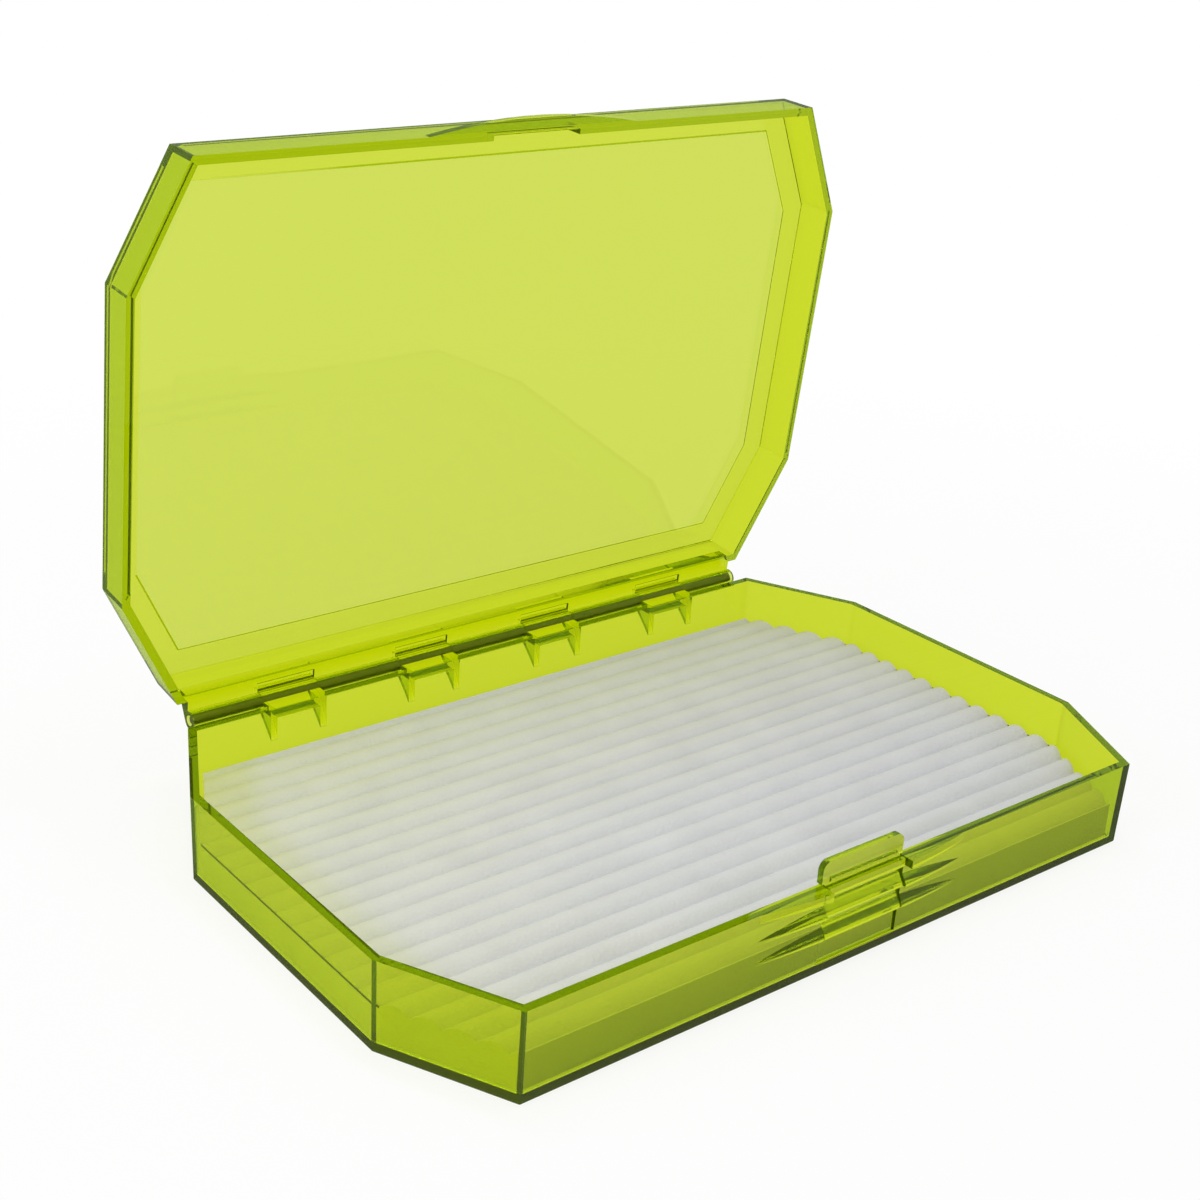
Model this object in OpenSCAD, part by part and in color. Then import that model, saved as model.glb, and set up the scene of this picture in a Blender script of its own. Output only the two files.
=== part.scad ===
// Pocket fly box: a clear tray and lid on a long pin hinge, with a snap latch and a ripple foam mat.
// X runs along the hinge, Y from the latch to the hinge, Z up. The origin is the middle of the
// underside. The lid is modelled shut, then turned back to its open stop, where it is drawn.

/* [Case] */
// Width along the hinge
case_w = 150; // [136:1:190]
// Depth from the latch wall to the hinge wall
case_d = 95; // [85:1:130]
// Height of the tray up to its rim
tray_h = 15.4; // [14:0.2:22]
// Depth of the lid from its rim to its top face
lid_h = 8; // [7:0.2:14]
// Length of each cut corner along the width
corner_w = 10.5; // [6:0.5:11]
// Length of each cut corner along the depth
corner_d = 21; // [14:0.5:28]
// Thickness of the side walls
wall = 1.5; // [1.2:0.1:2]
// Thickness of the tray floor
floor_t = 1.1; // [1:0.1:1.9]
// Thickness of the lid's top along its border
roof_t = 1.2; // [1:0.1:2.6]
// Taper of the side walls, in degrees
draft = 1.1; // [0.2:0.1:2]
// Radius of the outer bottom and top edges
edge_r = 0.5; // [0.3:0.1:1.2]
// Radius where the walls meet the floor or the roof inside
inner_r = 0.4; // [0.2:0.1:0.8]
// Gap between the two rims when the box is shut
rim_gap = 0.1; // [0.05:0.05:0.2]

/* [Lid panel] */
// Width of the border round the recessed panel
border_w = 5.9; // [4:0.1:9]
// Depth of the recessed panel below the border
panel_recess = 0.3; // [0.2:0.1:0.5]

/* [Hinge] */
// Angle from shut to the open stop, in degrees
open_angle = 84.5; // [70:0.5:88]
// Distance from the back wall to the hinge axis
axis_back = 3.3; // [3:0.1:4.2]
// Distance from the tray rim down to the hinge axis
axis_drop = 0.6; // [0.4:0.1:0.9]
// Outer radius of the knuckles
barrel_r = 1.7; // [1.5:0.05:1.9]
// Diameter of the hinge pin
pin_d = 1.8; // [1.4:0.1:2]
// Radial gap between the pin and the lid's knuckles, which turn on it
running_fit = 0.06; // [0.03:0.01:0.1]
// Radial gap between the pin and the tray's knuckles, which hold it
holding_fit = 0.02; // [0.01:0.01:0.03]
// Length of the whole row of knuckles
hinge_l = 125; // [118:0.2:126.4]
// Length of a tray knuckle
knuckle_l = 11.3; // [8:0.1:14]
// Distance between the middles of neighbouring tray knuckles
knuckle_pitch = 28.8; // [25:0.2:30]
// Side gap between neighbouring knuckles
knuckle_gap = 0.12; // [0.08:0.02:0.3]
// Distance from the axis down to the foot of the web under a tray knuckle
web_drop = 1.7; // [1.2:0.1:3]
// Distance from the axis down to the foot of the cheeks of a tray knuckle
cheek_drop = 5.8; // [4:0.1:8]
// Thickness of a cheek
cheek_t = 1.3; // [0.8:0.1:2]
// Height of the lid's flange and arms up its back wall
arm_h = 3.1; // [2.9:0.1:4.5]
// Distance of the flange's foot from the lid's rim
flange_step = 0.5; // [0.4:0.1:0.8]
// Gap between the flange and the barrels of the tray's knuckles
flange_gap = 0.2; // [0.15:0.05:0.4]
// Distance that a tray knuckle's nose reaches back under the flange of the open lid
nose_reach = 2.6; // [2.2:0.1:2.8]
// Gap left between that nose and the flange
nose_gap = 0.08; // [0.05:0.01:0.1]
// Distance of each pin end inside the row of knuckles
pin_inset = 0.4; // [0.1:0.1:1]

/* [Latch] */
// Width of the tongue between its slits
tongue_w = 16.4; // [12:0.2:22]
// Width of each slit
slit_w = 0.3; // [0.2:0.1:0.6]
// Thickness of the tongue at the rim and of its tab
tongue_t = 1.1; // [0.9:0.1:1.4]
// Thickness of the tongue at its root, where it bends
root_t = 0.9; // [0.7:0.1:1]
// Gap round the rolled root of the tongue
root_fit = 0.05; // [0.03:0.01:0.08]
// Height of the tongue's root above the underside
root_z = 2; // [1.9:0.1:3]
// Distance that the tongue stands back from the front wall at the rim
set_back = 0.75; // [0.7:0.05:0.9]
// Width of the tab above the rim
tab_w = 17.4; // [14:0.2:20]
// Height of the tab above the rim
tab_h = 3.9; // [3.4:0.1:4.4]
// Corner radius of the tab
tab_r = 1.5; // [0.5:0.1:2]
// Gap between the tab and its pocket in the lid's front wall when shut
tab_gap = 0.15; // [0.1:0.05:0.2]
// Side gap between the tab and its pocket
pocket_side = 0.4; // [0.2:0.1:0.8]
// Distance that the snap bead stands out from the tab
bead_out = 0.35; // [0.25:0.05:0.4]
// Radius of the snap bead
bead_r = 0.45; // [0.4:0.05:0.5]
// Height of the snap bead above the tray rim
bead_up = 0.8; // [0.8:0.05:1]
// Gap between the bead and its groove in the lid
bead_fit = 0.1; // [0.05:0.01:0.15]

/* [Grip] */
// Half length of the finger lips on both rims
lip_half = 22; // [16:0.5:30]
// Distance that the finger lips swell out in the middle
lip_sag = 2; // [1:0.1:3]
// Height of each finger lip
lip_t = 1.4; // [1:0.1:2]
// Half length of the grip ribs
rib_half = 22; // [14:0.5:28]
// Height of a grip rib
rib_h = 2.4; // [1.5:0.1:3.4]
// Height of a grip rib's upright face
rib_face = 0.4; // [0.2:0.1:0.7]
// Height of the upper rib's foot above the underside
upper_rib_z = 10.4; // [9.6:0.1:11]
// Distance that the upper rib swells out in the middle
upper_rib_sag = 1.2; // [0.6:0.1:1.8]
// Height of the lower rib's foot above the underside
lower_rib_z = 6.6; // [5.6:0.1:7.2]
// Distance that the lower rib swells out in the middle
lower_rib_sag = 1; // [0.4:0.1:1.5]
// Distance that the ribs and lip of the tongue stand out from it
tongue_rib = 1.2; // [0.3:0.1:1.4]

/* [Foam] */
// Thickness of the foam mat up to its crests
foam_h = 6.5; // [4:0.1:8]
// Distance between neighbouring crests
ripple_pitch = 4.64; // [3:0.02:7]
// Depth of the troughs between the crests
ripple_depth = 1.2; // [0.5:0.1:2.5]
// Gap between the foam and the tray walls
foam_gap = 0.6; // [0.5:0.1:1.5]
// Thickness of the adhesive sheet under the foam
adhesive_t = 0.2; // [0.1:0.05:0.5]
// Distance of the adhesive sheet's edge inside the foam's edge
adhesive_inset = 1; // [0.5:0.5:4]

/* [Hidden] */
$fn = 96;

clear_lime = [0.74, 0.85, 0.14, 0.55];
foam_white = [0.83, 0.84, 0.81];
steel_grey = [0.62, 0.63, 0.62];
glue_white = [0.9, 0.9, 0.88, 0.8];

// Depth to which ribs, arms and webs are rooted in the wall that carries them
rooted = wall / 3;
// Distance that a cutter runs past the face it opens
past = 1;
// Turn between the steps of a rounded edge
edge_step = 22.5;
// Straight pieces along one ripple of the foam
ripple_steps = 8;
// Chamfer on the ends of the pin
pin_chamfer = pin_d / 10;

front_y = -case_d / 2;
back_y = case_d / 2;
lid_z = tray_h + rim_gap;
top_z = lid_z + lid_h;
ceiling_z = top_z - roof_t;
axis_y = back_y + axis_back;
axis_z = tray_h - axis_drop;
foam_z = floor_t + adhesive_t;
crest_z = foam_z + foam_h;

// The octagon's outline, with every side moved in square to itself by inset
corner_slack = corner_w + corner_d - norm([corner_w, corner_d]);
function octagon(inset) =
    let (x = case_w / 2 - inset)
    let (y = case_d / 2 - inset)
    let (cut_x = x - corner_w + inset * corner_slack / corner_d)
    let (cut_y = y - corner_d + inset * corner_slack / corner_w)
    [[x, -cut_y], [x, cut_y], [cut_x, y], [-cut_x, y],
     [-x, cut_y], [-x, -cut_y], [-cut_x, -y], [cut_x, -y]];

// Distance that a wall has drawn in at a height away from its rim
function drawn_in(height) = height * tan(draft);

// Closed solid through octagons stacked upwards, each given as [height, inset]
module loft(rings) {
    last = 8 * (len(rings) - 1);
    points = [for (ring = rings) for (p = octagon(ring[1])) [p[0], p[1], ring[0]]];
    sides = [
        for (ring = [0 : 8 : last - 8])
        for (side = [0 : 7])
        let (a = ring + side)
        let (b = ring + (side + 1) % 8)
        [a, a + 8, b + 8, b]
    ];
    bottom = [for (side = [0 : 7]) side];
    top = [for (side = [7 : -1 : 0]) last + side];
    polyhedron(points, concat([bottom], sides, [top]), convexity = 4);
}

// Rings of an edge of radius r, as [distance from the face, extra inset]
function rounded(r) = [for (a = [0 : edge_step : 90]) [r - r * cos(a), r - r * sin(a)]];
function backwards(rings) = [for (i = [len(rings) - 1 : -1 : 0]) rings[i]];

// Tray walls, as rings from the floor up. Inset is 0 at the rim
function tray_rings(z, r, inset) = [
    for (e = rounded(r)) [z + e[0], inset + e[1] + drawn_in(tray_h - z - e[0])]
];

// Lid walls, as rings from the rim side up to the roof. Inset is 0 at the rim
function lid_rings(z, r, inset) = [
    for (e = backwards(rounded(r))) [z - e[0], inset + e[1] + drawn_in(z - e[0] - lid_z)]
];

module tray_shell() {
    difference() {
        loft(concat(tray_rings(0, edge_r, 0), [[tray_h, 0]]));
        loft(concat(tray_rings(floor_t, inner_r, wall), [[tray_h + past, wall - drawn_in(past)]]));
    }
}

module lid_shell() {
    difference() {
        loft(concat([[lid_z, 0]], lid_rings(top_z, edge_r, 0)));
        loft(concat([[lid_z - past, wall - drawn_in(past)]], lid_rings(ceiling_z, inner_r, wall)));
        panel_cutter();
    }
}

// Recess in the lid's outer face, with a sloped edge all round
module panel_cutter() {
    loft([
        [top_z - panel_recess, border_w + panel_recess],
        [top_z, border_w],
        [top_z + past, border_w]
    ]);
}

// Arc along the front wall that swells out by sag in the middle and dies away at its ends.
// The profile is a list of [distance inside the arc's crown, height]
module front_arc(half, sag, wall_y, profile) {
    arc_r = (half * half + sag * sag) / (2 * sag);
    heights = [for (p = profile) p[1]];
    rear = sag + rooted;
    intersection() {
        translate([0, wall_y - sag + arc_r, 0])
            rotate_extrude($fn = 360)
                polygon(concat(
                    [[arc_r - rear, heights[0]]],
                    [for (p = profile) [arc_r - p[0], p[1]]],
                    [[arc_r - rear, heights[len(heights) - 1]]]
                ));
        translate([-half, wall_y - sag - past, min(heights) - past])
            cube([2 * half, sag + past + rooted, max(heights) - min(heights) + 2 * past]);
    }
}

module finger_lip(z) {
    front_arc(lip_half, lip_sag, front_y, [[0, z], [0, z + lip_t]]);
}

// Top of a rib's slope, which ends below the rib or lip above it
function rib_top(z) = min(z + rib_h, (z < upper_rib_z ? upper_rib_z : tray_h - lip_t) - rib_face);

// Grip rib with a flat foot, a low upright face and a long slope back to the wall
module grip_rib(z, sag) {
    front_arc(rib_half, sag, front_y + drawn_in(tray_h - z),
        [[0, z], [0, z + rib_face], [sag, rib_top(z)]]);
}

// Opening in the front wall for the tongue and its slits, with a rolled seat for its root
window_w = tongue_w + 2 * slit_w;
root_y = front_y + drawn_in(tray_h - root_z) + wall / 2;
module tongue_window() {
    translate([-window_w / 2, front_y - lip_sag - past, root_z])
        cube([window_w, lip_sag + wall + 2 * past, tray_h - root_z + past]);
    translate([-window_w / 2, root_y, root_z])
        rotate([0, 90, 0]) cylinder(h = window_w, r = root_t / 2 + root_fit);
}

// Point where the line from p touches a circle of radius r round the hinge axis, on one side
function touch(p, r, side) =
    let (a = atan2(p[1], p[0]) + side * acos(r / norm(p)))
    [r * cos(a), r * sin(a)];

// Plate from x0 to x1 with its outline drawn as [y, z] from the hinge axis
module plate(x0, x1) {
    translate([x0, axis_y, axis_z])
        rotate([90, 0, 90]) linear_extrude(x1 - x0) children();
}

// Barrel joined to the back wall by a web whose foot is at drop below the axis
module barrel_on_tray(drop) {
    shoulder = [-axis_back, axis_drop];
    foot = [-axis_back, -drop];
    circle(r = barrel_r);
    polygon([
        shoulder - [rooted, 0], shoulder, [0, axis_drop],
        [0, 0],
        touch(foot, barrel_r, 1), foot, foot - [rooted, 0]
    ]);
}

// Nose on the back of a tray knuckle, where the open lid's flange comes to rest
module nose() {
    tip = [nose_gap - flange_from, nose_reach];
    rotate(-open_angle)
        polygon([[0, 0], touch(tip, barrel_r, 1), tip, touch(tip, barrel_r, -1)]);
}

module tray_knuckle(x) {
    x0 = x - knuckle_l / 2;
    x1 = x + knuckle_l / 2;
    plate(x0, x1) {
        barrel_on_tray(web_drop);
        nose();
    }
    plate(x0, x0 + cheek_t) barrel_on_tray(cheek_drop);
    plate(x1 - cheek_t, x1) barrel_on_tray(cheek_drop);
}

// Shape of the shut lid's hinge from the axis: rim height, distance of the flange from the
// axis, top of the arms on the back wall and the point where they meet the barrel
lid_rim = axis_drop + rim_gap;
flange_from = barrel_r + flange_gap;
arm_top = [-axis_back, lid_rim + arm_h];
arm_end = touch(arm_top, barrel_r, -1);
flange_top = arm_top[1]
    + (arm_end[1] - arm_top[1]) * (axis_back - flange_from) / (axis_back + arm_end[0]);

// Barrel joined to the shut lid by an arm
module barrel_on_lid() {
    circle(r = barrel_r);
    polygon([
        [-axis_back - rooted, lid_rim], [0, lid_rim], arm_end,
        arm_top, arm_top - [rooted, 0]
    ]);
}

module lid_knuckle(x0, x1) {
    plate(x0, x1) barrel_on_lid();
}

// Flange along the lid's back wall that ties its arms together
module lid_flange() {
    foot = lid_rim + flange_step;
    plate(-hinge_l / 2, hinge_l / 2)
        polygon([
            [-axis_back - rooted, foot], [-flange_from, foot], [-flange_from, flange_top],
            arm_top, arm_top - [rooted, 0]
        ]);
}

module hinge_bore(fit) {
    translate([-case_w / 2, axis_y, axis_z])
        rotate([0, 90, 0]) cylinder(h = case_w, r = pin_d / 2 + fit);
}

// Middles of the four tray knuckles
knuckle_xs = [for (i = [-1.5 : 1 : 1.5]) i * knuckle_pitch];
// Distance from the middle of a tray knuckle to the end of its lid neighbour
beside = knuckle_l / 2 + knuckle_gap;

module base_tray() {
    color(clear_lime)
    difference() {
        union() {
            tray_shell();
            finger_lip(tray_h - lip_t);
            grip_rib(upper_rib_z, upper_rib_sag);
            grip_rib(lower_rib_z, lower_rib_sag);
            for (x = knuckle_xs) tray_knuckle(x);
        }
        tongue_window();
        hinge_bore(holding_fit);
    }
}

// The lid as it is when the box is shut
tab_y = front_y + set_back;
bead_y = tab_y - bead_out + bead_r;
bead_z = tray_h + bead_up;
pocket_w = tab_w + 2 * pocket_side;
module shut_lid() {
    difference() {
        union() {
            lid_shell();
            finger_lip(lid_z);
            lid_flange();
            for (i = [0 : 2]) lid_knuckle(knuckle_xs[i] + beside, knuckle_xs[i + 1] - beside);
            lid_knuckle(-hinge_l / 2, knuckle_xs[0] - beside);
            lid_knuckle(knuckle_xs[3] + beside, hinge_l / 2);
        }
        hinge_bore(running_fit);
        tab_pocket();
    }
}

// Pocket in the inside of the front wall for the tab, with a groove for its bead
module tab_pocket() {
    translate([-pocket_w / 2, tab_y - tab_gap, lid_z - past])
        cube([pocket_w, wall, tray_h + tab_h + 2 * tab_gap - lid_z + past]);
    translate([-pocket_w / 2, bead_y, bead_z])
        rotate([0, 90, 0]) cylinder(h = pocket_w, r = bead_r + bead_fit);
}

module lid() {
    color(clear_lime)
    translate([0, axis_y, axis_z]) rotate([-open_angle, 0, 0]) translate([0, -axis_y, -axis_z])
        shut_lid();
}

module hinge_pin() {
    length = hinge_l - 2 * pin_inset;
    r = pin_d / 2;
    color(steel_grey)
    translate([-length / 2, axis_y, axis_z])
        rotate([0, 90, 0])
            rotate_extrude()
                polygon([
                    [0, 0], [r - pin_chamfer, 0], [r, pin_chamfer],
                    [r, length - pin_chamfer], [r - pin_chamfer, length], [0, length]
                ]);
}

// Outer and inner faces of the tongue, from its root to the rim
function between(z, at_root, at_rim) =
    at_root + (at_rim - at_root) * (z - root_z) / (tray_h - root_z);
function outer_face(z) = between(z, root_y - root_t / 2, tab_y);

// Outline of one rib on the tongue, from its foot up
function tongue_rib_points(z) = [
    [outer_face(z), z],
    [outer_face(z) - tongue_rib, z],
    [outer_face(z) - tongue_rib, z + rib_face],
    [outer_face(rib_top(z)), rib_top(z)]
];

module tongue_blade() {
    lip_z = tray_h - lip_t;
    tab_back = tab_y + tongue_t;
    translate([-tongue_w / 2, 0, 0])
        rotate([90, 0, 90]) linear_extrude(tongue_w)
            polygon(concat(
                [[root_y - root_t / 2, root_z]],
                tongue_rib_points(lower_rib_z),
                tongue_rib_points(upper_rib_z),
                [[outer_face(lip_z), lip_z], [tab_y - tongue_rib, lip_z]],
                [[tab_y - tongue_rib, tray_h], [tab_y, tray_h]],
                [[tab_y, tray_h + tab_h / 2], [tab_back, tray_h + tab_h / 2]],
                [[tab_back, tray_h], [root_y + root_t / 2, root_z]]
            ));
}

// Tab above the rim, wider than the tongue and with two rounded corners
module tongue_tab() {
    half = tab_w / 2;
    foot = 2 * rim_gap;
    translate([0, tab_y + tongue_t, tray_h])
        rotate([90, 0, 0]) linear_extrude(tongue_t) {
            translate([-half, foot]) square([tab_w, tab_h - tab_r - foot]);
            translate([tab_r - half, foot]) square([tab_w - 2 * tab_r, tab_h - foot]);
            for (side = [-1, 1])
                translate([side * (half - tab_r), tab_h - tab_r]) circle(r = tab_r);
        }
}

module latch_tongue() {
    color(clear_lime) {
        tongue_blade();
        tongue_tab();
        translate([-tongue_w / 2, root_y, root_z])
            rotate([0, 90, 0]) cylinder(h = tongue_w, r = root_t / 2);
        translate([tab_r - tab_w / 2, bead_y, bead_z])
            rotate([0, 90, 0]) cylinder(h = tab_w - 2 * tab_r, r = bead_r);
    }
}

// Drop of the foam's top below its crests, at a distance y from the middle crest
function ripple(y) = ripple_depth * pow(sin(180 * y / ripple_pitch), 2);

foam_inset = wall + drawn_in(tray_h - floor_t) + foam_gap;
module foam_insert() {
    ripples = ceil(case_d / 2 / ripple_pitch);
    step = ripple_pitch / ripple_steps;
    reach = ripples * ripple_pitch;
    top = [for (i = [ripples * ripple_steps : -1 : -ripples * ripple_steps])
        [i * step, crest_z - ripple(i * step)]];
    color(foam_white)
    intersection() {
        translate([-case_w / 2, 0, 0])
            rotate([90, 0, 90]) linear_extrude(case_w)
                polygon(concat([[-reach, foam_z], [reach, foam_z]], top));
        linear_extrude(crest_z + past) polygon(octagon(foam_inset));
    }
}

module foam_adhesive() {
    color(glue_white)
    translate([0, 0, floor_t])
        linear_extrude(adhesive_t) polygon(octagon(foam_inset + adhesive_inset));
}

base_tray();
lid();
hinge_pin();
latch_tongue();
foam_insert();
foam_adhesive();
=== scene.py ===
# Pocket fly box in clear lime plastic, standing open on a white studio table.
# Sizes and places are in metres
import math

import bmesh
import bpy
from mathutils import Matrix, Vector


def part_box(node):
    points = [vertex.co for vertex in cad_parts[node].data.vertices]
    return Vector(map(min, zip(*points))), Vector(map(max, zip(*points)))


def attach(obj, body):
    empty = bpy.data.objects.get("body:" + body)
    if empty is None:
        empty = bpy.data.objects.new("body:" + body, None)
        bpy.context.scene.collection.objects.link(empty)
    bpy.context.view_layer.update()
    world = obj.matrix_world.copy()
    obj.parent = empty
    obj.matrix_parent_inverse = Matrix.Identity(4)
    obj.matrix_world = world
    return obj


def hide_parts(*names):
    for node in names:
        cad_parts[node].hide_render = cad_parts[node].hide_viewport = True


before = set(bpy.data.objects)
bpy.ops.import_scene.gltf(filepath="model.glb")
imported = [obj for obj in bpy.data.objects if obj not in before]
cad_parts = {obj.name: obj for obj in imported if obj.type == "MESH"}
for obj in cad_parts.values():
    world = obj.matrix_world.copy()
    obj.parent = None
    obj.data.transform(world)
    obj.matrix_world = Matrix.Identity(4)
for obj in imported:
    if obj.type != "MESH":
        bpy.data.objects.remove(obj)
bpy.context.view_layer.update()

# Tray
# The lower shell of the box, with its finger grips and four of the hinge's knuckles.
# Clear polycarbonate tinted lime right through, injection moulded in a polished mould.


def linear(hex_colour):
    """The linear RGBA of an sRGB hex value."""
    parts = [int(hex_colour[i : i + 2], 16) / 255 for i in (1, 3, 5)]
    return [c / 12.92 if c < 0.04045 else ((c + 0.055) / 1.055) ** 2.4 for c in parts] + [1.0]


def add_node(material, kind, values=None, **settings):
    """Adds a node. A value is a number or colour for that input, or the output that feeds it."""
    node = material.node_tree.nodes.new(kind)
    for name, setting in settings.items():
        setattr(node, name, setting)
    for name, value in (values or {}).items():
        if isinstance(value, bpy.types.NodeSocket):
            material.node_tree.links.new(value, node.inputs[name])
        else:
            node.inputs[name].default_value = value
    return node


def new_material(name):
    """A material with no nodes in it yet."""
    material = bpy.data.materials.new(name)
    material.use_nodes = True
    material.node_tree.nodes.clear()
    return material


# Clear polycarbonate: glass-clear and glossy, with a slow waviness left by the mould's polish
# and faint haze from handling. The tint deepens with thickness, so edges and corners turn olive
PLASTIC_IOR = 1.58
WAVE_LENGTH, WAVE_HEIGHT = 0.014, 0.00002
HAZE_PATCH, CLEAREST, HAZIEST = 0.006, 0.01, 0.05
# How fast the tint takes red, green and blue out of the light, per millimetre of plastic
LIME_PER_MM = (0.075, 0.055, 1.9)
MM_PER_M = 1000
plastic = new_material("clear_lime_polycarbonate")
density = max(LIME_PER_MM)
tint = add_node(plastic, "ShaderNodeVolumeAbsorption", {
    "Color": [1 - amount / density for amount in LIME_PER_MM] + [1.0],
    "Density": density * MM_PER_M,
})
plastic_place = add_node(plastic, "ShaderNodeTexCoord")
waves = add_node(plastic, "ShaderNodeTexNoise", {
    "Vector": plastic_place.outputs["Object"], "Scale": 1 / WAVE_LENGTH, "Detail": 1.0,
})
polish = add_node(plastic, "ShaderNodeBump", {
    "Height": waves.outputs[0], "Distance": WAVE_HEIGHT, "Strength": 0.5,
})
patches = add_node(plastic, "ShaderNodeTexNoise", {
    "Vector": plastic_place.outputs["Object"], "Scale": 1 / HAZE_PATCH, "Detail": 4.0,
})
haze = add_node(plastic, "ShaderNodeMapRange", {
    "Value": patches.outputs[0], "From Min": 0.3, "From Max": 0.7,
    "To Min": CLEAREST, "To Max": HAZIEST,
})
surface = add_node(plastic, "ShaderNodeBsdfPrincipled", {
    "Base Color": linear("#DDE9DC"), "Roughness": haze.outputs[0], "IOR": PLASTIC_IOR,
    "Specular Tint": linear("#B4C83C"), "Transmission Weight": 1.0, "Normal": polish.outputs[0],
})
# Seen as through a polarising filter, which takes most of the white glare off the faces
# that it meets at a slant, and leaves the reflections inside the walls
FILTER_STARTS, FILTER_FULL, GLARE_TAKEN = 0.3, 0.58, 0.7
unglazed = add_node(plastic, "ShaderNodeBsdfRefraction", {
    "Color": linear("#EEF4EE"), "Roughness": haze.outputs[0], "IOR": PLASTIC_IOR,
    "Normal": polish.outputs[0],
})
face = add_node(plastic, "ShaderNodeNewGeometry")
slant = add_node(plastic, "ShaderNodeLayerWeight", {"Blend": 0.5})
glare = add_node(plastic, "ShaderNodeMapRange", {
    "Value": slant.outputs["Facing"], "From Min": FILTER_STARTS, "From Max": FILTER_FULL,
    "To Min": 0.0, "To Max": GLARE_TAKEN,
})
outside = add_node(plastic, "ShaderNodeMath", {
    0: 1.0, 1: face.outputs["Backfacing"],
}, operation="SUBTRACT")
filtered = add_node(plastic, "ShaderNodeMath", {
    0: glare.outputs[0], 1: outside.outputs[0],
}, operation="MULTIPLY")
shown = add_node(plastic, "ShaderNodeMixShader", {
    0: filtered.outputs[0], 1: surface.outputs[0], 2: unglazed.outputs[0],
})
# A trace of the light scatters in the pigment, which keeps the darkest edges olive
PIGMENT_SHARE = 0.05
pigment = add_node(plastic, "ShaderNodeBsdfDiffuse", {"Color": linear("#B4D20A")})
clouded = add_node(plastic, "ShaderNodeMixShader", {
    0: PIGMENT_SHARE, 1: shown.outputs[0], 2: pigment.outputs[0],
})
# Shadow and diffuse rays go straight through, or the clear plastic would throw a full shadow
lit_through = add_node(plastic, "ShaderNodeBsdfTransparent", {"Color": linear("#F4F6E4")})
path = add_node(plastic, "ShaderNodeLightPath")
passing = add_node(plastic, "ShaderNodeMath", {
    0: path.outputs["Is Shadow Ray"], 1: path.outputs["Is Diffuse Ray"],
}, operation="MAXIMUM")
mixed = add_node(plastic, "ShaderNodeMixShader", {
    0: passing.outputs[0], 1: clouded.outputs[0], 2: lit_through.outputs[0],
})
add_node(plastic, "ShaderNodeOutputMaterial", {
    "Surface": mixed.outputs[0], "Volume": tint.outputs[0],
})
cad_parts["base_tray"].material_slots[0].material = plastic

# Latch tongue
# Springy tongue between two slits of the front wall, moulded in one with the tray.
# Its tab stands above the rim and snaps into a pocket of the shut lid.
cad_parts["latch_tongue"].material_slots[0].material = plastic

# Foam mat
# Closed-cell EVA foam with moulded ripples for the hooks, cut to the tray's outline.
# White, soft and dull, with fine cells. It is glued to the floor of the tray.

# EVA foam: dull and white, with a skin of fine cells that the hot press left a little uneven.
# The cells are 0.15 mm and are drawn at 0.5 mm, or they would not show
FOAM_CELL, CELL_DEPTH = 0.0005, 0.00012
PRESS_PATCH = 0.009
foam = new_material("white_eva_foam")
foam_place = add_node(foam, "ShaderNodeTexCoord")
cells = add_node(foam, "ShaderNodeTexVoronoi", {
    "Vector": foam_place.outputs["Object"], "Scale": 1 / FOAM_CELL,
})
skin = add_node(foam, "ShaderNodeBump", {
    "Height": cells.outputs["Distance"], "Distance": CELL_DEPTH, "Strength": 0.5,
})
press_marks = add_node(foam, "ShaderNodeTexNoise", {
    "Vector": foam_place.outputs["Object"], "Scale": 1 / PRESS_PATCH, "Detail": 4.0,
})
foam_colour = add_node(foam, "ShaderNodeMix", {
    0: press_marks.outputs[0], 6: linear("#CBCCCF"), 7: linear("#DBDCDF"),
}, data_type="RGBA")
foam_dullness = add_node(foam, "ShaderNodeMapRange", {
    "Value": cells.outputs["Distance"], "To Min": 0.8, "To Max": 0.98,
})
foam_finish = add_node(foam, "ShaderNodeBsdfPrincipled", {
    "Base Color": foam_colour.outputs[2], "Roughness": foam_dullness.outputs[0],
    "Normal": skin.outputs[0],
})
add_node(foam, "ShaderNodeOutputMaterial", {"Surface": foam_finish.outputs[0]})

# The mat takes the foam solid's heights and outline. Each corner is cut straight, from
# corner_x along the front or back edge to corner_y along the side
foam_low, foam_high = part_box("foam_insert")
ON_THE_EDGE = 0.00001
solid_points = [vertex.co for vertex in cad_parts["foam_insert"].data.vertices]
corner_x = max(point.x for point in solid_points if point.y > foam_high.y - ON_THE_EDGE)
corner_y = max(point.y for point in solid_points if point.x > foam_high.x - ON_THE_EDGE)
RIPPLE_PITCH, RIPPLE_DEPTH, RIPPLE_STEPS = 0.00464, 0.0012, 16
GROOVE_POWER = 0.75
ripples_each_way = math.ceil(foam_high.y / RIPPLE_PITCH)
# A blank a little wider than the mat, with a row of points for each step of a ripple
BLANK_MARGIN = 1.05
bpy.ops.object.select_all(action="DESELECT")
bpy.ops.mesh.primitive_grid_add(
    x_subdivisions=1, y_subdivisions=2 * ripples_each_way * RIPPLE_STEPS, size=1,
    location=(0, 0, foam_high.z))
mat = bpy.context.object
mat.name = "foam_mat"
bpy.ops.object.mode_set(mode="EDIT")
bpy.ops.transform.resize(
    value=(2 * BLANK_MARGIN * foam_high.x, 2 * ripples_each_way * RIPPLE_PITCH, 1))


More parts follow.
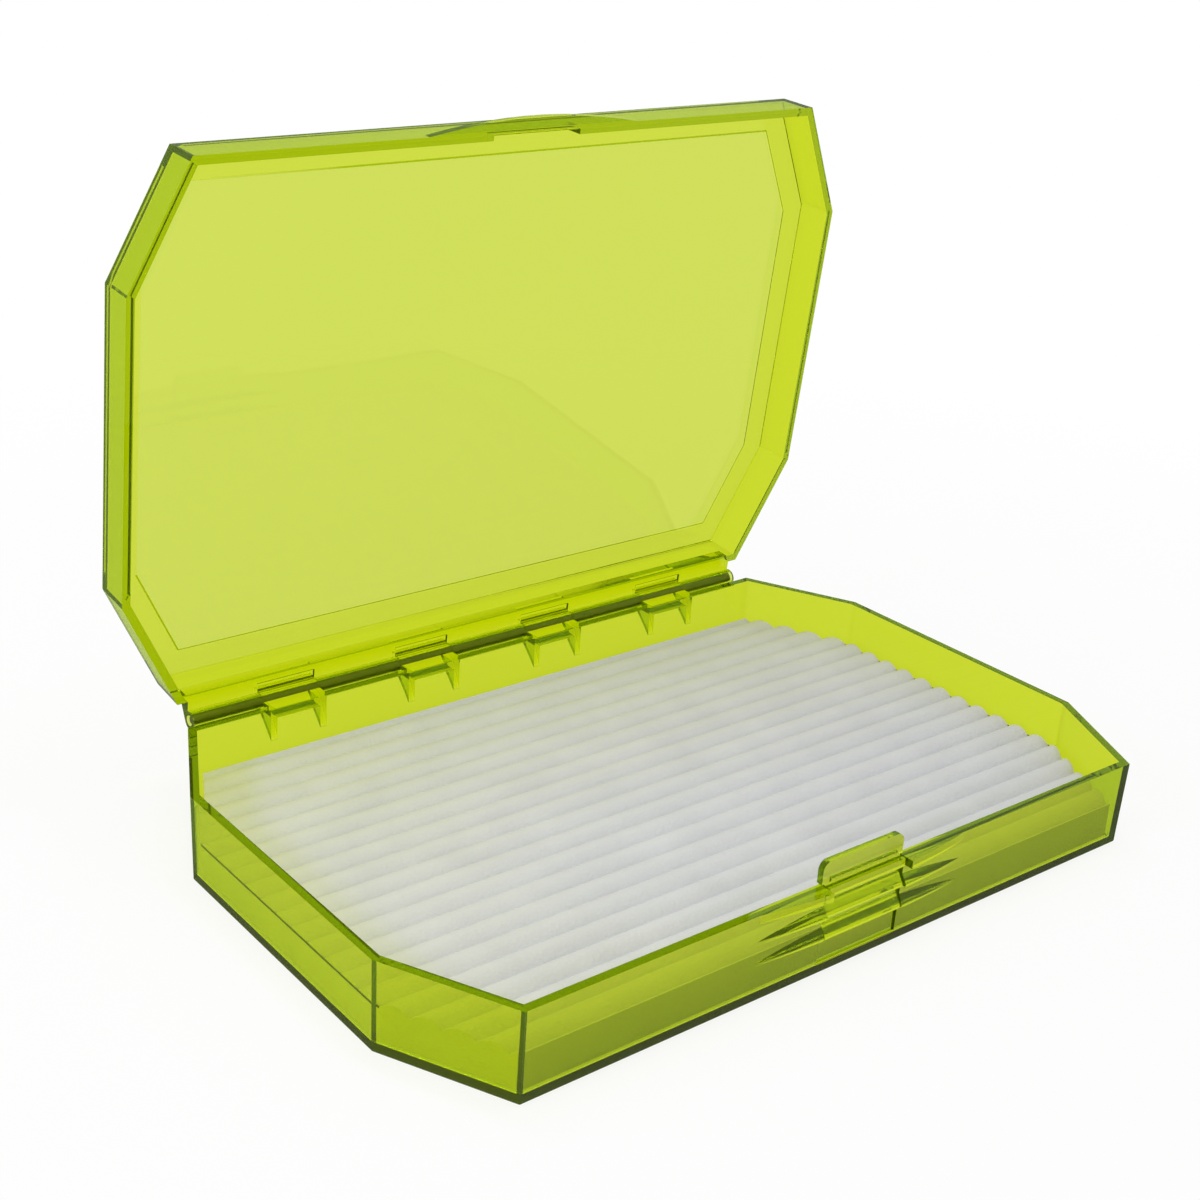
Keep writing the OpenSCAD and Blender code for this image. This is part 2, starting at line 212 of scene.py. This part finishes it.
def pick(piece, test, kind="verts"):
    """Selects the vertices or edges of the piece in edit mode that pass the test."""
    bpy.ops.mesh.select_all(action="DESELECT")
    bpy.ops.mesh.select_mode(type="EDGE" if kind == "edges" else "VERT")
    mesh = bmesh.from_edit_mesh(piece.data)
    for element in getattr(mesh, kind):
        element.select_set(test(element))
    mesh.select_flush_mode()
    bmesh.update_edit_mesh(piece.data)


# Press the ripples down row by row: round crests that meet in sharp grooves
for step in range(1, RIPPLE_STEPS // 2 + 1):
    drop = RIPPLE_DEPTH * (1 - math.cos(math.pi * step / RIPPLE_STEPS) ** GROOVE_POWER)
    pick(mat, lambda v: round(abs(v.co.y) / RIPPLE_PITCH * RIPPLE_STEPS) % RIPPLE_STEPS
         in (step, RIPPLE_STEPS - step))
    bpy.ops.transform.translate(value=(0, 0, -drop))
# Give the mat its thickness, with a flat underside
bpy.ops.mesh.select_all(action="SELECT")
bpy.ops.mesh.extrude_region_move(
    TRANSFORM_OT_translate={"value": (0, 0, foam_low.z - foam_high.z)})
bpy.ops.transform.resize(value=(1, 1, 0), center_override=(0, 0, foam_low.z))

CUT_MERGE = 1e-7


def cut_off(point, outwards):
    """Cuts the mesh in edit mode at a plane, drops what lies outside it and closes the cut."""
    bpy.ops.mesh.select_all(action="SELECT")
    bpy.ops.mesh.bisect(
        plane_co=point, plane_no=outwards, use_fill=True, clear_outer=True,
        threshold=CUT_MERGE)


# Cut it to the tray's outline: the four sides, and then the four corners
for side_x, side_y in ((1, 0), (-1, 0), (0, 1), (0, -1)):
    cut_off((side_x * foam_high.x, side_y * foam_high.y, 0), (side_x, side_y, 0))
for side_x in (-1, 1):
    for side_y in (-1, 1):
        start = Vector((side_x * corner_x, side_y * foam_high.y, 0))
        along = Vector((side_x * foam_high.x, side_y * corner_y, 0)) - start
        cut_off(start, Vector((side_x * abs(along.y), side_y * abs(along.x), 0)).normalized())
MERGE_DISTANCE = 0.000001
bpy.ops.mesh.select_all(action="SELECT")
bpy.ops.mesh.remove_doubles(threshold=MERGE_DISTANCE)
bpy.ops.mesh.normals_make_consistent(inside=False)
# Soft edges where the knife went through: the sharp ones round the upright faces
CUT_EDGE, UPRIGHT, SHARP_TURN, SMOOTH_TURN = 0.0002, 0.01, math.radians(20), math.radians(35)
pick(mat, lambda e: min(abs(f.normal.z) for f in e.link_faces) < UPRIGHT
     and e.calc_face_angle() > SHARP_TURN, "edges")
bpy.ops.mesh.bevel(offset=CUT_EDGE, segments=2, affect="EDGES", clamp_overlap=True)
bpy.ops.object.mode_set(mode="OBJECT")
bpy.ops.object.transform_apply(location=True, rotation=True, scale=True)
bpy.ops.object.shade_smooth_by_angle(angle=SMOOTH_TURN)
mat.data.materials.append(foam)
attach(mat, "tray")
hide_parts("foam_insert")

# Adhesive sheet
# Double-sided acrylic film on the back of the mat, which holds it down on the tray's floor.
# It is seen from below, through the clear floor.

# Acrylic adhesive: it wets the plastic in patches, shiny where it took and dull where air
# stayed under it
AIR_PATCH, AIR_DEPTH = 0.004, 0.00005
film = new_material("acrylic_adhesive_film")
film_place = add_node(film, "ShaderNodeTexCoord")
air = add_node(film, "ShaderNodeTexNoise", {
    "Vector": film_place.outputs["Object"], "Scale": 1 / AIR_PATCH, "Detail": 3.0,
})
film_colour = add_node(film, "ShaderNodeMix", {
    0: air.outputs[0], 6: linear("#D6D6CC"), 7: linear("#ECECE6"),
}, data_type="RGBA")
film_gloss = add_node(film, "ShaderNodeMapRange", {
    "Value": air.outputs[0], "From Min": 0.35, "From Max": 0.65, "To Min": 0.25, "To Max": 0.6,
})
film_bump = add_node(film, "ShaderNodeBump", {
    "Height": air.outputs[0], "Distance": AIR_DEPTH, "Strength": 0.4,
})
film_finish = add_node(film, "ShaderNodeBsdfPrincipled", {
    "Base Color": film_colour.outputs[2], "Roughness": film_gloss.outputs[0],
    "Normal": film_bump.outputs[0],
})
add_node(film, "ShaderNodeOutputMaterial", {"Surface": film_finish.outputs[0]})
bpy.ops.object.select_all(action="DESELECT")
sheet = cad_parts["foam_adhesive"].copy()
sheet.data = sheet.data.copy()
sheet.name = "adhesive_film"
bpy.context.scene.collection.objects.link(sheet)
bpy.context.view_layer.objects.active = sheet
sheet.select_set(True)
bpy.ops.object.mode_set(mode="EDIT")
bpy.ops.mesh.select_all(action="SELECT")
bpy.ops.mesh.remove_doubles(threshold=MERGE_DISTANCE)
# A hair thinner than its place, so that its faces don't lie in those of the tray and the mat
FILM_THINNING = 0.8
film_low, film_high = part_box("foam_adhesive")
bpy.ops.transform.resize(
    value=(1, 1, FILM_THINNING), center_override=(0, 0, (film_low.z + film_high.z) / 2))
bpy.ops.object.mode_set(mode="OBJECT")
sheet.material_slots[0].material = film
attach(sheet, "tray")
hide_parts("foam_adhesive")

# Hinge pin
# One long pin of steel wire, drawn through a die and cut to length.
# It is pushed through the nine knuckles and is seen through their plastic.

# Drawn steel: long fine lines along the wire. Its dark tone is painted shade, standing in for a
# dark surround that the steel would mirror.
# The lines are 0.05 mm apart and are drawn at 0.2 mm, or they would not show
DIE_LINE, LINE_DEPTH, LENGTH_TO_WIDTH = 0.0002, 0.00001, 50
steel = new_material("drawn_steel_wire")
pin_place = add_node(steel, "ShaderNodeTexCoord")
stretched = add_node(steel, "ShaderNodeMapping", {
    "Vector": pin_place.outputs["Object"], "Scale": (1 / LENGTH_TO_WIDTH, 1, 1),
})
lines = add_node(steel, "ShaderNodeTexNoise", {
    "Vector": stretched.outputs[0], "Scale": 1 / DIE_LINE, "Detail": 2.0,
})
# The steel is painted dark: painted shade in place of the dark reflections it would show
steel_painted_dark = add_node(steel, "ShaderNodeMix", {
    0: lines.outputs[0], 6: linear("#3E3E39"), 7: linear("#66665F"),
}, data_type="RGBA")
steel_gloss = add_node(steel, "ShaderNodeMapRange", {
    "Value": lines.outputs[0], "To Min": 0.12, "To Max": 0.3,
})
drawn = add_node(steel, "ShaderNodeBump", {
    "Height": lines.outputs[0], "Distance": LINE_DEPTH, "Strength": 0.3,
})
steel_finish = add_node(steel, "ShaderNodeBsdfPrincipled", {
    "Base Color": steel_painted_dark.outputs[2], "Metallic": 1.0, "Roughness": steel_gloss.outputs[0],
    "Normal": drawn.outputs[0],
})
add_node(steel, "ShaderNodeOutputMaterial", {"Surface": steel_finish.outputs[0]})
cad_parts["hinge_pin"].material_slots[0].material = steel

# Lid
# The upper shell, with a sunk panel inside a thicker border and the hinge's other knuckles.
# The same tinted polycarbonate as the tray, hung on the pin by five of the knuckles.
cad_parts["lid"].material_slots[0].material = plastic

# Studio
# White table that runs out of view, a white surround that lights the box from all round,
# and three softboxes, one overhead and two at the left.


def white_rays(material):
    """1 for the rays that find the surround white: seen straight, in a reflection or bent."""
    rays = add_node(material, "ShaderNodeLightPath")
    straight = add_node(material, "ShaderNodeMath", {
        0: rays.outputs["Is Camera Ray"], 1: rays.outputs["Is Glossy Ray"],
    }, operation="MAXIMUM")
    bent = add_node(material, "ShaderNodeMath", {
        0: straight.outputs[0], 1: rays.outputs["Is Transmission Ray"],
    }, operation="MAXIMUM")
    return bent.outputs[0]


# The table lies a hair under the box, so that their faces don't meet
TABLE_SIZE, TABLE_DROP = 6.0, 0.0003
bpy.ops.object.select_all(action="DESELECT")
bpy.ops.mesh.primitive_plane_add(size=TABLE_SIZE, location=(0, 0, -TABLE_DROP))
table = bpy.context.object
table.name = "studio_table"
white = new_material("white_table")
table_rays = white_rays(white)
# White all over a step away from the box, and keeping its shadow close to it
SHADOW_REACH, WHITE_FROM, WHITE_UNDER_BOX = 0.1, 0.3, 0.85
table_place = add_node(white, "ShaderNodeTexCoord")
distance = add_node(white, "ShaderNodeVectorMath", {
    0: table_place.outputs["Object"],
}, operation="LENGTH")
even = add_node(white, "ShaderNodeMapRange", {
    "Value": distance.outputs["Value"], "From Min": SHADOW_REACH, "From Max": WHITE_FROM,
    "To Min": WHITE_UNDER_BOX, "To Max": 1.0,
})
share = add_node(white, "ShaderNodeMath", {
    0: table_rays, 1: even.outputs[0],
}, operation="MULTIPLY")
matt = add_node(white, "ShaderNodeBsdfDiffuse", {"Color": linear("#F4F4F4")})
glow = add_node(white, "ShaderNodeEmission", {"Color": linear("#FFFFFF"), "Strength": 1.0})
table_mix = add_node(white, "ShaderNodeMixShader", {
    0: share.outputs[0], 1: matt.outputs[0], 2: glow.outputs[0],
})
add_node(white, "ShaderNodeOutputMaterial", {"Surface": table_mix.outputs[0]})
table.data.materials.append(white)

# The surround looks white, and lights the box at about a third of that
SURROUND_LIGHT = 0.35
world = bpy.data.worlds.new("studio_world")
bpy.context.scene.world = world
world.use_nodes = True
world.node_tree.nodes.clear()
lit = add_node(world, "ShaderNodeMapRange", {
    "Value": white_rays(world), "To Min": SURROUND_LIGHT, "To Max": 1.0,
})
surround = add_node(world, "ShaderNodeBackground", {
    "Color": linear("#FFFFFF"), "Strength": lit.outputs[0],
})
add_node(world, "ShaderNodeOutputWorld", {"Surface": surround.outputs[0]})

BOX_MIDDLE = Vector((0, 0, 0.02))


def softbox(name, place, size, watts):
    """Adds a rectangular lamp that faces the box and that the camera doesn't see."""
    light = bpy.data.lights.new(name, "AREA")
    light.shape = "RECTANGLE"
    light.size, light.size_y = size
    light.energy = watts
    lamp = bpy.data.objects.new(name, light)
    bpy.context.scene.collection.objects.link(lamp)
    lamp.location = place
    lamp.rotation_euler = (BOX_MIDDLE - Vector(place)).to_track_quat("-Z", "Y").to_euler()
    lamp.visible_camera = False


softbox("overhead_softbox", place=(0.1, 0.03, 0.95), size=(0.9, 0.12), watts=5)
# One high enough to light the foam over the tray's wall, and one low down to light the wall
softbox("left_softbox", place=(-0.9, -0.02, 0.6), size=(0.2, 0.2), watts=2.3)
softbox("low_softbox", place=(-1.0, -0.02, 0.12), size=(0.8, 0.2), watts=4.5)

# Camera
# The photograph's own view, from the front left and above. Its place, its turns and its
# focal length were fitted to the box's corners in the photograph, with the shift held.
CAMERA_PLACE = (-0.194485, -0.208774, 0.163632)
TURNED, DIPPED, ROLLED = math.radians(-37.296), math.radians(21.22), math.radians(2.617)
FOCAL_MM, SENSOR_MM = 56.273, 36
lens = bpy.data.cameras.new("photo_camera")
lens.sensor_width = SENSOR_MM
lens.lens = FOCAL_MM
lens.shift_x = 0.08
lens.shift_y = -0.0583
lens.clip_start = 0.01
camera = bpy.data.objects.new("photo_camera", lens)
bpy.context.scene.collection.objects.link(camera)
camera.matrix_world = (
    Matrix.Translation(CAMERA_PLACE)
    @ Matrix.Rotation(TURNED, 4, "Z")
    @ Matrix.Rotation(math.radians(90) - DIPPED, 4, "X")
    @ Matrix.Rotation(ROLLED, 4, "Z")
)
bpy.context.scene.camera = camera
# Light runs a long way inside clear plastic, from face to face, before it leaves an edge
LONGEST_RUN, LONGEST_INSIDE = 40, 32
bpy.context.scene.cycles.max_bounces = LONGEST_RUN
bpy.context.scene.cycles.glossy_bounces = LONGEST_INSIDE
bpy.context.scene.cycles.transmission_bounces = LONGEST_INSIDE
bpy.context.scene.cycles.transparent_max_bounces = LONGEST_INSIDE
bpy.context.scene.view_settings.view_transform = "Standard"
